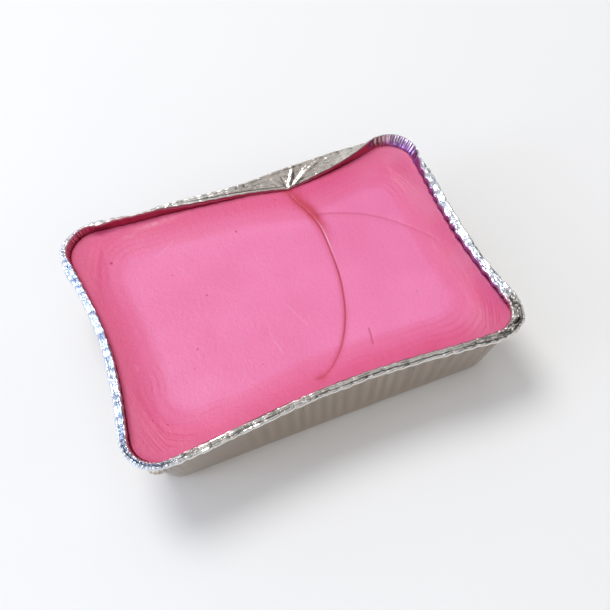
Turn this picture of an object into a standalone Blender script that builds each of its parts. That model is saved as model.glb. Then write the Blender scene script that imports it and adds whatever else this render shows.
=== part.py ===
"""A block of paraffin wax cast in a pressed aluminium foil tray, the refill of a salon wax bath.

Two real pieces: the one-piece foil tray, with its walls, flange and rolled edge, and the wax block that
was poured into it. X runs along the tray, Y across it and Z up. The origin is at the middle of the base.
The tray is modelled as it is after handling: every side of the rim is squeezed inwards, and the back of
the rim is kinked down onto the wax. Every wall keeps some draft, so the block lifts straight out.
"""

import math

import bmesh
import bpy
from mathutils import Vector

MM = 0.001

# Foil tray
RIM_LENGTH = 215.0 * MM
RIM_WIDTH = 156.0 * MM
TRAY_HEIGHT = 45.0 * MM
FOIL_THICKNESS = 0.12 * MM
FLANGE_WIDTH = 3.9 * MM
ROLLED_EDGE_DROP = 1.8 * MM
RIM_CORNER_RADIUS = 22.0 * MM
END_FLARE = 16.5 * MM
SIDE_FLARE = 12.5 * MM
BASE_LENGTH = RIM_LENGTH - 2 * END_FLARE
BASE_WIDTH = RIM_WIDTH - 2 * SIDE_FLARE
BASE_CORNER_RADIUS = 12.0 * MM
BASE_FILLET = 5.0 * MM
LEAST_DRAFT = 0.6 * MM

# The squeeze of a side fades round the corner with this power of the way out to that side
CORNER_FADE_POWER = 4

# How far each rim side is squeezed in: depth, centre along the side, half span, and the power that
# sets how flat the middle is
LEFT_SQUEEZE = (7.4 * MM, -6.0 * MM, 77.0 * MM, 2)
RIGHT_SQUEEZE = (6.0 * MM, -9.0 * MM, 84.0 * MM, 2)
FRONT_SQUEEZE = (6.6 * MM, 7.0 * MM, 100.0 * MM, 2)
BACK_SQUEEZE = (4.8 * MM, 3.0 * MM, 98.0 * MM, 4)

# The kink in the back of the rim, where the top of the wall is pushed in and down
KINK_X = 25.0 * MM
KINK_DEPTH = 7.7 * MM
KINK_DROP = 4.2 * MM
KINK_LEFT_SPAN = 72.0 * MM
KINK_RIGHT_SPAN = 60.0 * MM
KINK_SHOULDER_POWER = 2.0
KINK_CORNER_FADE_POWER = 12

# Wax block
WAX_CLEARANCE = 0.3 * MM
HEADSPACE = 5.2 * MM
WAX_LEVEL = TRAY_HEIGHT - HEADSPACE
# Rings of the wax surface: distance in from the wall, and fall below the level at the wall
WAX_SURFACE = ((2.5 * MM, 1.0 * MM), (11.0 * MM, 1.9 * MM), (21.0 * MM, 2.4 * MM), (40.0 * MM, 2.6 * MM))

# Steps along the mesh
CORNER_STEPS = 6
LONG_SIDE_STEPS = 20
SHORT_SIDE_STEPS = 12
FILLET_STEPS = 4
WALL_STEPS = 3

# The Solidify offset that grows a sheet along its normals, which point out of the tray
OUTWARD = 1.0

FOIL_COLOUR = (0.80, 0.79, 0.77, 1.0)
FOIL_ROUGHNESS = 0.35
WAX_COLOUR = (0.85, 0.17, 0.42, 1.0)
WAX_ROUGHNESS = 0.45
SHARP_EDGE_ANGLE = math.radians(35)


def clear_scene():
    for thing in list(bpy.data.objects):
        bpy.data.objects.remove(thing)


def material(name, colour, roughness, metallic):
    made = bpy.data.materials.new(name)
    made.use_nodes = True
    shader = made.node_tree.nodes["Principled BSDF"]
    shader.inputs["Base Color"].default_value = colour
    shader.inputs["Roughness"].default_value = roughness
    shader.inputs["Metallic"].default_value = metallic
    return made


def rounded_rectangle(length, width, radius):
    """Points counterclockwise from the front right corner. Their number is the same for every size."""
    centre_x = length / 2 - radius
    centre_y = width / 2 - radius
    corners = (
        (centre_x, -centre_y, -90.0, SHORT_SIDE_STEPS),
        (centre_x, centre_y, 0.0, LONG_SIDE_STEPS),
        (-centre_x, centre_y, 90.0, SHORT_SIDE_STEPS),
        (-centre_x, -centre_y, 180.0, LONG_SIDE_STEPS),
    )
    points = []
    for index, (x, y, start, side_steps) in enumerate(corners):
        for step in range(CORNER_STEPS + 1):
            angle = math.radians(start + 90.0 * step / CORNER_STEPS)
            points.append(Vector((x + radius * math.cos(angle), y + radius * math.sin(angle), 0)))
        arc_end = points[-1]
        next_x, next_y, next_start, _ = corners[(index + 1) % len(corners)]
        angle = math.radians(next_start)
        next_arc = Vector((next_x + radius * math.cos(angle), next_y + radius * math.sin(angle), 0))
        for step in range(1, side_steps):
            points.append(arc_end.lerp(next_arc, step / side_steps))
    return points


def squeeze_at(position, squeeze):
    """Inward shift of a rim side: full at its centre, and fading out smoothly at the half span."""
    depth, centre, half_span, power = squeeze
    share = abs(position - centre) / half_span
    if share >= 1:
        return 0.0
    return depth * (1 - share ** power) ** 2


def squeezed(point, length, width):
    """A point of the rim, moved in with its side. Corners move by what is left of each side's squeeze."""
    share_x = 2 * point.x / length
    share_y = 2 * point.y / width
    along_x = squeeze_at(point.y, RIGHT_SQUEEZE if point.x > 0 else LEFT_SQUEEZE)
    along_y = squeeze_at(point.x, BACK_SQUEEZE if point.y > 0 else FRONT_SQUEEZE)
    return Vector((
        point.x - math.copysign(along_x * share_x ** CORNER_FADE_POWER, point.x),
        point.y - math.copysign(along_y * share_y ** CORNER_FADE_POWER, point.y),
        point.z,
    ))


def kink_share(x, shoulder_power):
    """1 at the kink and 0 past its ends: a straight ramp on the left and a shoulder on the right."""
    if x <= KINK_X:
        return max(0.0, 1 - (KINK_X - x) / KINK_LEFT_SPAN)
    return max(0.0, 1 - ((x - KINK_X) / KINK_RIGHT_SPAN) ** shoulder_power)


def flange_ring():
    """The outer edge of the flange, on its upper face."""
    length = RIM_LENGTH - 2 * FOIL_THICKNESS
    width = RIM_WIDTH - 2 * FOIL_THICKNESS
    ring = rounded_rectangle(length, width, RIM_CORNER_RADIUS - FOIL_THICKNESS)
    lifted = [Vector((p.x, p.y, TRAY_HEIGHT)) for p in ring]
    return [squeezed(p, length, width) for p in lifted]


def ridge_ring():
    """The bend between wall and flange, on the inner face, with the kink in its back side."""
    length = RIM_LENGTH - 2 * FLANGE_WIDTH
    width = RIM_WIDTH - 2 * FLANGE_WIDTH
    ring = rounded_rectangle(length, width, RIM_CORNER_RADIUS - FLANGE_WIDTH)
    bent = []
    for point in ring:
        moved = squeezed(Vector((point.x, point.y, TRAY_HEIGHT)), length, width)
        if point.y > 0:
            on_side = (2 * point.y / width) ** KINK_CORNER_FADE_POWER
            moved.y -= KINK_DEPTH * kink_share(point.x, KINK_SHOULDER_POWER) * on_side
            moved.z -= KINK_DROP * kink_share(point.x, 1.0) * on_side
        bent.append(moved)
    return bent


def foot_ring(ridge):
    """Where the lines of the wall meet the base's inner face, inside the ridge by the least draft."""
    ring = rounded_rectangle(BASE_LENGTH, BASE_WIDTH, BASE_CORNER_RADIUS)
    feet = []
    for foot, top in zip(ring, ridge):
        y = math.copysign(min(abs(foot.y), abs(top.y) - LEAST_DRAFT), foot.y)
        feet.append(Vector((foot.x, y, FOIL_THICKNESS)))
    return feet


def centred(ring, reference):
    """The ring moved in plan so that the reference ring's outline is centred on the origin."""
    middle_x = (min(p.x for p in reference) + max(p.x for p in reference)) / 2
    middle_y = (min(p.y for p in reference) + max(p.y for p in reference)) / 2
    return [p - Vector((middle_x, middle_y, 0)) for p in ring]


def inward(ring):
    """The unit vector pointing into the tray in plan, at every point of a counterclockwise ring."""
    count = len(ring)
    ways = []
    for index in range(count):
        along = ring[(index + 1) % count] - ring[index - 1]
        ways.append(Vector((-along.y, along.x, 0)).normalized())
    return ways


def moved_in(ring, distance, rise=0.0):
    return [p + way * distance + Vector((0, 0, rise)) for p, way in zip(ring, inward(ring))]


def fillet_rings(foot, top, radius):
    """Rings of a curve that leaves the base plane a radius inside the foot and joins the wall above it."""
    starts = moved_in(foot, radius)
    ends = [a + (b - a).normalized() * radius for a, b in zip(foot, top)]
    rings = []
    for step in range(FILLET_STEPS + 1):
        share = step / FILLET_STEPS
        rings.append([
            start * (1 - share) ** 2 + corner * 2 * share * (1 - share) + end * share ** 2
            for start, corner, end in zip(starts, foot, ends)
        ])
    return rings


def wall_rings(lowest, top):
    """Evenly spaced rings from just above the lowest one up to the top one."""
    return [
        [a.lerp(b, step / WALL_STEPS) for a, b in zip(lowest, top)]
        for step in range(1, WALL_STEPS + 1)
    ]


def skin_rings(mesh, rings):
    """Quads between neighbouring rings. Returns the vertices of every ring."""
    rows = [[mesh.verts.new(point) for point in ring] for ring in rings]
    for lower, upper in zip(rows, rows[1:]):
        for index in range(len(lower)):
            after = (index + 1) % len(lower)
            mesh.faces.new((lower[index], lower[after], upper[after], upper[index]))
    return rows


def add_object(name, mesh, look):
    data = bpy.data.meshes.new(name)
    mesh.to_mesh(data)
    mesh.free()
    data.materials.append(look)
    data.shade_smooth()
    data.set_sharp_from_angle(angle=SHARP_EDGE_ANGLE)
    made = bpy.data.objects.new(name, data)
    bpy.context.scene.collection.objects.link(made)
    return made


def build_foil_tray(look):
    """The sheet's inner face, from the middle of the base out to the rolled edge, given its thickness."""
    flange = centred(flange_ring(), flange_ring())
    ridge = centred(ridge_ring(), flange_ring())
    foot = foot_ring(ridge)
    fillet = fillet_rings(foot, ridge, BASE_FILLET)
    rolled_edge = [p - Vector((0, 0, ROLLED_EDGE_DROP)) for p in flange]
    mesh = bmesh.new()
    rows = skin_rings(mesh, fillet + wall_rings(fillet[-1], ridge) + [flange, rolled_edge])
    mesh.faces.new(reversed(rows[0]))
    tray = add_object("foil_tray", mesh, look)
    thickness = tray.modifiers.new("foil", "SOLIDIFY")
    thickness.thickness = FOIL_THICKNESS
    thickness.offset = OUTWARD
    thickness.use_even_offset = True
    return tray


def wax_contact_ring(foot, top):
    """Where the wax surface meets the wall, on the line from foot to top."""
    return [a.lerp(b, (WAX_LEVEL - a.z) / (b.z - a.z)) for a, b in zip(foot, top)]


def wax_surface_rings(contact):
    """Shrunken copies of the contact ring, each lower than the one outside it."""
    rings = []
    for inset, fall in WAX_SURFACE:
        scale_x = 1 - 2 * inset / BASE_LENGTH
        scale_y = 1 - 2 * inset / BASE_WIDTH
        rings.append([Vector((p.x * scale_x, p.y * scale_y, WAX_LEVEL - fall)) for p in contact])
    return rings


def build_wax_block(look):
    """The tray's inside, less a clearance, filled to the wax level, with a slightly hollow surface."""
    ridge = centred(ridge_ring(), flange_ring())
    foot = moved_in(foot_ring(ridge), WAX_CLEARANCE, rise=WAX_CLEARANCE)
    top = moved_in(ridge, WAX_CLEARANCE)
    contact = wax_contact_ring(foot, top)
    fillet = fillet_rings(foot, contact, BASE_FILLET)
    mesh = bmesh.new()
    rows = skin_rings(mesh, fillet + wall_rings(fillet[-1], contact) + wax_surface_rings(contact))
    mesh.faces.new(reversed(rows[0]))
    mesh.faces.new(rows[-1])
    return add_object("wax_block", mesh, look)


def main():
    clear_scene()
    build_foil_tray(material("foil", FOIL_COLOUR, FOIL_ROUGHNESS, metallic=1.0))
    build_wax_block(material("wax", WAX_COLOUR, WAX_ROUGHNESS, metallic=0.0))


main()
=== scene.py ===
"""The looks of a paraffin wax refill: pink wax cast in a crumpled tray of pressed aluminium foil.

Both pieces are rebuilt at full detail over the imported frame. The foil is one sheet, swept round the tray
through base, wall, flange and rolled bead, with its flutes, pleats, crimps, crumples and the kinked back.
The wax follows the inside of that sheet, so its sides carry the print of the foil. Lengths are in
millimetres until a mesh is made. X runs along the tray, Y across it and Z up.
"""

import math

import bpy
import numpy as np
from mathutils import Matrix, Vector
from mathutils.geometry import delaunay_2d_cdt


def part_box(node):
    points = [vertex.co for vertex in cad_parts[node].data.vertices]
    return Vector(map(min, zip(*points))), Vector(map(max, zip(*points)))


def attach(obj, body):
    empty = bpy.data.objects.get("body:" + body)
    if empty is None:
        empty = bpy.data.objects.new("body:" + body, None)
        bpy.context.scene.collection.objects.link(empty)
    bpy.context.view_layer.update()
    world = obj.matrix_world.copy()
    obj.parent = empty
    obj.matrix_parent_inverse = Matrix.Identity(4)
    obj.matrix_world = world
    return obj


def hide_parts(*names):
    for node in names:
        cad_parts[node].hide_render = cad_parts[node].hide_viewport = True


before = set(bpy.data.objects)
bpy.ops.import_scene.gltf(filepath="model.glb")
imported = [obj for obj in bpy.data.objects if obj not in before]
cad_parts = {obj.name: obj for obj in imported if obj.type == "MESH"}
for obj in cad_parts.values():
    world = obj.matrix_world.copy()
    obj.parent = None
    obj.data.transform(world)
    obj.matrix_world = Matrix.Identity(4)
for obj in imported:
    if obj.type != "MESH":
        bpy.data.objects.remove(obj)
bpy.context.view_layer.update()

MM = 0.001
rng = np.random.default_rng(7)

# The tray's driving sizes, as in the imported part
RIM_LENGTH = 215.0
RIM_WIDTH = 156.0
RIM_CORNER_RADIUS = 22.0
FLANGE_WIDTH = 3.9
END_FLARE = 16.5
SIDE_FLARE = 12.5
BASE_CORNER_RADIUS = 12.0
BASE_FILLET = 5.0
LEAST_DRAFT = 0.6
FOIL = 0.12
CORNER_FADE_POWER = 4
LEFT_SQUEEZE = (7.4, -6.0, 77.0, 2)
RIGHT_SQUEEZE = (6.0, -9.0, 84.0, 2)
FRONT_SQUEEZE = (6.6, 7.0, 100.0, 2)
BACK_SQUEEZE = (4.8, 3.0, 98.0, 4)
KINK_X = 25.0
KINK_DEPTH = 7.7
KINK_DROP = 4.2
KINK_LEFT_SPAN = 72.0
KINK_RIGHT_SPAN = 60.0

tray_low, tray_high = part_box("foil_tray")
TRAY_HEIGHT = (tray_high.z - tray_low.z) / MM
WAX_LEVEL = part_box("wax_block")[1].z / MM

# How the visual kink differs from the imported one: a sharper point, a bow left of it, and the back edge
# pulled in beside it by a depth, round a place, with a reach
KINK_FADE_POWER = 12
POINT_DEPTH = 1.8
POINT_DROP = 0.5
POINT_REACH = 9
BOW_DEPTH = 1.2
BOW_DROP = 1.0
EDGE_PULL = (2.3, -3.0, 21.0)

# Steps round the tray, and up its section. The rows of the wall are close together round its ledge.
CORNER_STEPS = 72
LONG_STEPS = 350
SHORT_STEPS = 230
FILLET_STEPS = 5
WALL_SHARES = np.concatenate([
    np.linspace(0, 0.68, 14)[1:], np.linspace(0.68, 0.9, 15)[1:], np.linspace(0.9, 1, 6)[1:],
])
WAX_SIDE_SHARES = np.linspace(0, 1, 23)[1:]
FLAT_ROWS = 22
CLOSE_ROWS = 9
CLOSE_STEP = 0.25
BEAD_ROWS = 14

# The flange's section: its bead, its least width, the bend from the wall, and the most a crease stands up
BEAD_RADIUS = 0.95
BEAD_LIFT = 0.25
LEAST_FLANGE = 3.3
RIDGE_BEND = 0.9
HIGHEST_CREASE = 0.7

# Pitch of the folds at the corners, on the sides and on the right end
CORNER_PITCH = 1.9
SIDE_PITCH = 6.9
RIGHT_PITCH = 8.0
LEDGE_DEPTH = 0.45

# The wax: its gap to the foil, the grid of its surface, its rise along the left and dip in the right-back
# corner, how far it falls beside the wall and towards its middle, and the rings where it shrank
WAX_GAP = 0.12
GRID_PITCH = 1.0
LEFT_RISE = 0.4
CORNER_DIP = 1.0
MENISCUS = 0.6
HOLLOW = 1.7
MIDDLE_HOLLOW = 0.3
RING_ROUNDING = 38.0
RING_PITCH = 3.3

# How much of the margin's darker colour the sides and base of the block have. They carry no other mark.
SIDE_MARGIN = 0.75

# Points whose distances from a line are worked out at once
AT_ONCE = 4000


# --- Outline of the tray -------------------------------------------------------------------------------

def rounded_rectangle(length, width, radius):
    """Counterclockwise points from the front right corner, as many for every size."""
    corners = (
        (1, -1, -90, SHORT_STEPS), (1, 1, 0, LONG_STEPS), (-1, 1, 90, SHORT_STEPS), (-1, -1, 180, LONG_STEPS),
    )
    arcs = []
    for side_x, side_y, start, _ in corners:
        angle = np.radians(start + np.linspace(0, 90, CORNER_STEPS + 1))
        x = side_x * (length / 2 - radius) + radius * np.cos(angle)
        y = side_y * (width / 2 - radius) + radius * np.sin(angle)
        arcs.append(np.stack([x, y], 1))
    parts = []
    for index, (_, _, _, steps) in enumerate(corners):
        start, end = arcs[index][-1], arcs[(index + 1) % 4][0]
        share = np.linspace(0, 1, steps + 1)[1:-1, None]
        parts += [arcs[index], start + (end - start) * share]
    return np.concatenate(parts)


def arc_flags():
    """1 on a corner arc and 0 on a side, at every point of a ring."""
    flags = []
    for steps in (SHORT_STEPS, LONG_STEPS, SHORT_STEPS, LONG_STEPS):
        flags += [1.0] * (CORNER_STEPS + 1) + [0.0] * (steps - 1)
    return np.array(flags)


def squeeze_at(position, squeeze):
    """How far a side is squeezed in, at places along it."""
    depth, centre, half_span, power = squeeze
    share = np.clip(np.abs(position - centre) / half_span, 0, 1)
    return depth * (1 - share ** power) ** 2


def squeezed(ring, length, width):
    """A ring with its four sides squeezed in, less and less towards the middle of the tray."""
    x, y = ring[:, 0], ring[:, 1]
    along_x = np.where(x > 0, squeeze_at(y, RIGHT_SQUEEZE), squeeze_at(y, LEFT_SQUEEZE))
    along_y = np.where(y > 0, squeeze_at(x, BACK_SQUEEZE), squeeze_at(x, FRONT_SQUEEZE))
    fade_x = (2 * x / length) ** CORNER_FADE_POWER
    fade_y = (2 * y / width) ** CORNER_FADE_POWER
    return np.stack([x - np.sign(x) * along_x * fade_x, y - np.sign(y) * along_y * fade_y], 1)


def kink_share(x, power):
    """1 at the kink, falling straight to 0 on its left and in a curve on its right."""
    left = np.clip(1 - (KINK_X - x) / KINK_LEFT_SPAN, 0, 1)
    right = np.clip(1 - (np.maximum(x - KINK_X, 0) / KINK_RIGHT_SPAN) ** power, 0, 1)
    return np.where(x <= KINK_X, left, right)


def with_height(ring, height):
    """A flat ring raised to one height, or to a height at each point."""
    return np.column_stack([ring, np.broadcast_to(height, len(ring))])


def rings_of_the_tray():
    """The flange's outer edge, the ridge between wall and flange, and the foot of the wall's inner face."""
    outer = squeezed(rounded_rectangle(RIM_LENGTH, RIM_WIDTH, RIM_CORNER_RADIUS), RIM_LENGTH, RIM_WIDTH)
    length, width = RIM_LENGTH - 2 * FLANGE_WIDTH, RIM_WIDTH - 2 * FLANGE_WIDTH
    plain = rounded_rectangle(length, width, RIM_CORNER_RADIUS - FLANGE_WIDTH)
    inner = squeezed(plain, length, width)
    x = plain[:, 0]
    at_back = np.where(plain[:, 1] > 0, (2 * plain[:, 1] / width) ** KINK_FADE_POWER, 0)
    point = np.exp(-(np.abs(x - KINK_X) / POINT_REACH)) * at_back
    bow = smoothstep(-62, -35, x) * (1 - smoothstep(0, 22, x)) * at_back
    inner[:, 1] -= KINK_DEPTH * kink_share(x, 2) * at_back + POINT_DEPTH * point - BOW_DEPTH * bow
    ridge_height = TRAY_HEIGHT - KINK_DROP * kink_share(x, 1) * at_back - POINT_DROP * point - BOW_DROP * bow
    middle = (outer.min(0) + outer.max(0)) / 2
    pull, pull_place, pull_reach = EDGE_PULL
    outer[:, 1] -= pull * np.exp(-((outer[:, 0] - pull_place) / pull_reach) ** 2) * (outer[:, 1] > 0)
    flange = with_height(outer - middle, TRAY_HEIGHT)
    ridge = with_height(inner - middle, ridge_height)
    foot = rounded_rectangle(RIM_LENGTH - 2 * END_FLARE, RIM_WIDTH - 2 * SIDE_FLARE, BASE_CORNER_RADIUS)
    least = np.maximum(np.abs(ridge[:, 1]) - LEAST_DRAFT, RIM_WIDTH / 4)
    foot[:, 1] = np.sign(foot[:, 1]) * np.minimum(np.abs(foot[:, 1]), least)
    return flange, ridge, with_height(foot, FOIL)


def unit(vectors):
    """Vectors at a length of 1."""
    return vectors / np.linalg.norm(vectors, axis=-1, keepdims=True)


def outward(ring):
    """The level direction out of a ring at each of its points."""
    along = np.roll(ring, -1, 0) - np.roll(ring, 1, 0)
    return unit(np.stack([along[:, 1], -along[:, 0], np.zeros(len(ring))], 1))


def smoothstep(low, high, value):
    """0 at low and 1 at high, with low above high for a fall."""
    share = np.clip((value - low) / (high - low), 0, 1)
    return share * share * (3 - 2 * share)


def bell(value, width):
    """1 at 0, falling off on both sides."""
    return np.exp(-(value / width) ** 2)


def near(ring, x, y, radius):
    """1 at a place on the tray, fading out round it."""
    return np.exp(-((ring[:, 0] - x) ** 2 + (ring[:, 1] - y) ** 2) / radius ** 2)


def loop_noise(count, bumps):
    """Smooth noise from -1 to 1 round a closed loop."""
    values = rng.uniform(-1, 1, bumps)
    position = np.arange(count) / count * bumps
    low = position.astype(int)
    share = smoothstep(0, 1, position - low)
    return values[low % bumps] * (1 - share) + values[(low + 1) % bumps] * share


def blurred(values, reach):
    """Values round the loop, each averaged with its neighbours."""
    total = np.zeros_like(values)
    for shift in range(-reach, reach + 1):
        total += np.roll(values, shift)
    return total / (2 * reach + 1)


# --- Folds round the tray ------------------------------------------------------------------------------

flange_ring, ridge_ring, foot_ring = rings_of_the_tray()
COUNT = len(flange_ring)
steps_along = np.linalg.norm(np.roll(flange_ring, -1, 0) - flange_ring, axis=1)
around = np.concatenate([[0], np.cumsum(steps_along)[:-1]])
LOOP = steps_along.sum()
corner = blurred(blurred(arc_flags(), 12), 12)
ends = smoothstep(-6, 6, np.abs(flange_ring[:, 0]) - RIM_LENGTH / 2 + 14) * (1 - corner)
front = smoothstep(0, 20, -flange_ring[:, 1]) * (1 - ends)
back = smoothstep(0, 20, flange_ring[:, 1]) * (1 - ends)

# Places on the tray: its corners, the kink, the thin stretch of the back, a flat tab and two ears of foil
LEFT_FRONT = near(flange_ring, -98, -70, 20)
RIGHT_FRONT = near(flange_ring, 99, -68, 19)
LEFT_BACK = near(flange_ring, -98, 70, 20)
RIGHT_BACK = near(flange_ring, 97, 70, 21)
KINK = near(flange_ring, KINK_X + 4, 74, 42)
right_end = ends * (flange_ring[:, 0] > 0)
left_end = ends * (flange_ring[:, 0] < 0)
THIN_BACK = smoothstep(-104, -88, flange_ring[:, 0]) * (1 - smoothstep(-60, -36, flange_ring[:, 0])) * (
    flange_ring[:, 1] > 20
)
FLAT_TAB = near(flange_ring, -82, 76, 5.5)
LEFT_EAR = near(flange_ring, -106, 46, 5)
FRONT_EAR = near(flange_ring, -97, -74, 8)


def fold_places(spread):
    """Places of the folds round the loop: close together at the corners and far apart on the sides."""
    places = [0.0]
    while places[-1] < LOOP:
        share = np.interp(places[-1], around, corner, period=LOOP)
        pitch = SIDE_PITCH + (CORNER_PITCH - SIDE_PITCH) * share
        pitch += (RIGHT_PITCH - SIDE_PITCH) * np.interp(places[-1], around, right_end, period=LOOP)
        places.append(places[-1] + pitch * rng.uniform(1 - spread, 1 + spread))
    return np.array(places) * LOOP / places[-1]


def pillows(places, skew):
    """Bulges between folds, 0 at each fold and 1 between two; the way across each; and its random size."""
    index = np.clip(np.searchsorted(places, around, side="right") - 1, 0, len(places) - 2)
    share = (around - places[index]) / (places[index + 1] - places[index])
    leaning = share ** (1 + skew)
    return 4 * leaning * (1 - leaning), share, rng.uniform(0.45, 1.35, len(places))[index]


# Flutes of the wall, which fade on the smooth stretch of its front, and crimps of the flange
flute, flute_way, flute_size = pillows(fold_places(0.22), 0.6 * right_end)
crimp, _, crimp_size = pillows(fold_places(0.38), 0.0)
smooth_stretch = np.maximum(front * (1 - smoothstep(-56, -40, flange_ring[:, 0])) * (1 - corner), 0)
FLUTE_DEPTH = (0.66 + 0.30 * right_end - 0.12 * corner) * (1 - 0.9 * smooth_stretch)
wall_wave = 0.35 * loop_noise(COUNT, 26) + 0.12 * loop_noise(COUNT, 80)
LEDGE = 0.80 - 0.035 * flute * flute_size + 0.012 * loop_noise(COUNT, 70)

# Where the whole wall stands further out, and where only its top, above the wax, stands out or leans in
WALL_OUT = THIN_BACK * 0.9
TOP_OUT = (
    RIGHT_BACK * 3.0 - RIGHT_FRONT * 3.3 - left_end * 0.9 - right_end * 1.6 * (1 - RIGHT_BACK)
    - FLAT_TAB * 1.6 - front * 0.6 * (1 - corner)
)


def top_shift(share):
    """How far the top of the wall stands out at a share of its height."""
    return TOP_OUT * smoothstep(0.86, 1.0, share)


def wall_shift(share):
    """How far the wall stands out at a share of its height: flutes that grow towards a small ledge."""
    above = smoothstep(LEDGE - 0.012, LEDGE + 0.02, share)
    folds = FLUTE_DEPTH * flute_size * (flute - 0.62) * (1 - 0.5 * above * (1 - right_end) * (1 - corner))
    inset = LEDGE_DEPTH * (1 - 0.6 * corner) * (1 - above) * smoothstep(0.05, 0.5, share)
    return (folds + wall_wave * (1 - share) * share * 2) * smoothstep(0.02, 0.7, share) - inset


def crumple(u, v, cell):
    """Flat facets with sharp edges, from -1 to 1, drawn afresh at each call. u closes on itself at LOOP."""
    columns, rows = int(round(LOOP / cell)), 40
    u = u / LOOP * columns + 0.45 * np.sin(v / cell * 2.1 + u * 0.9)
    v = v / cell + 0.5 * np.sin(u * 1.7) + 10
    heights = rng.uniform(-1, 1, (columns, rows))
    low_u, low_v = np.floor(u).astype(int), np.floor(v).astype(int)
    share_u, share_v = u - low_u, v - low_v

    def at(step_u, step_v):
        return heights[(low_u + step_u) % columns, (low_v + step_v) % rows]

    lower = at(0, 0) + share_u * (at(1, 0) - at(0, 0)) + share_v * (at(1, 1) - at(1, 0))
    upper = at(0, 0) + share_v * (at(0, 1) - at(0, 0)) + share_u * (at(1, 1) - at(0, 1))
    return np.where(share_u > share_v, lower, upper)


# --- The foil sheet ------------------------------------------------------------------------------------

def fillet_and_wall(foot, top, radius, wall_shares):
    """Rings of the curve from the base plane into the wall, then the wall up to its top, without folds."""
    starts = foot - outward(foot) * radius
    ends_of_curve = foot + unit(top - foot) * radius
    rings, shares = [], []
    for share in np.linspace(0, 1, FILLET_STEPS + 1):
        rings.append(starts * (1 - share) ** 2 + foot * 2 * share * (1 - share) + ends_of_curve * share ** 2)
        shares.append(0.05 * share)
    for share in wall_shares:
        rings.append(ends_of_curve + (top - ends_of_curve) * share)
        shares.append(0.05 + 0.95 * share)
    return rings, shares


def base_rings(edge, lift):
    """Rings that fill the base, slightly rumpled, from its middle out to the start of the fillet."""
    rings = []
    for share in (0.12, 0.3, 0.48, 0.64, 0.78, 0.89, 0.96):
        ring = edge * [share, share, 1]
        x, y = ring[:, 0], ring[:, 1]
        rumple = np.sin(x * 0.11 + 1) * np.sin(y * 0.13) + np.sin(x * 0.05 - y * 0.07)
        ring[:, 2] = edge[:, 2] + lift * (1 - share ** 6) * (rumple * 0.25 + 0.5)
        rings.append(ring)
    return rings


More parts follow.
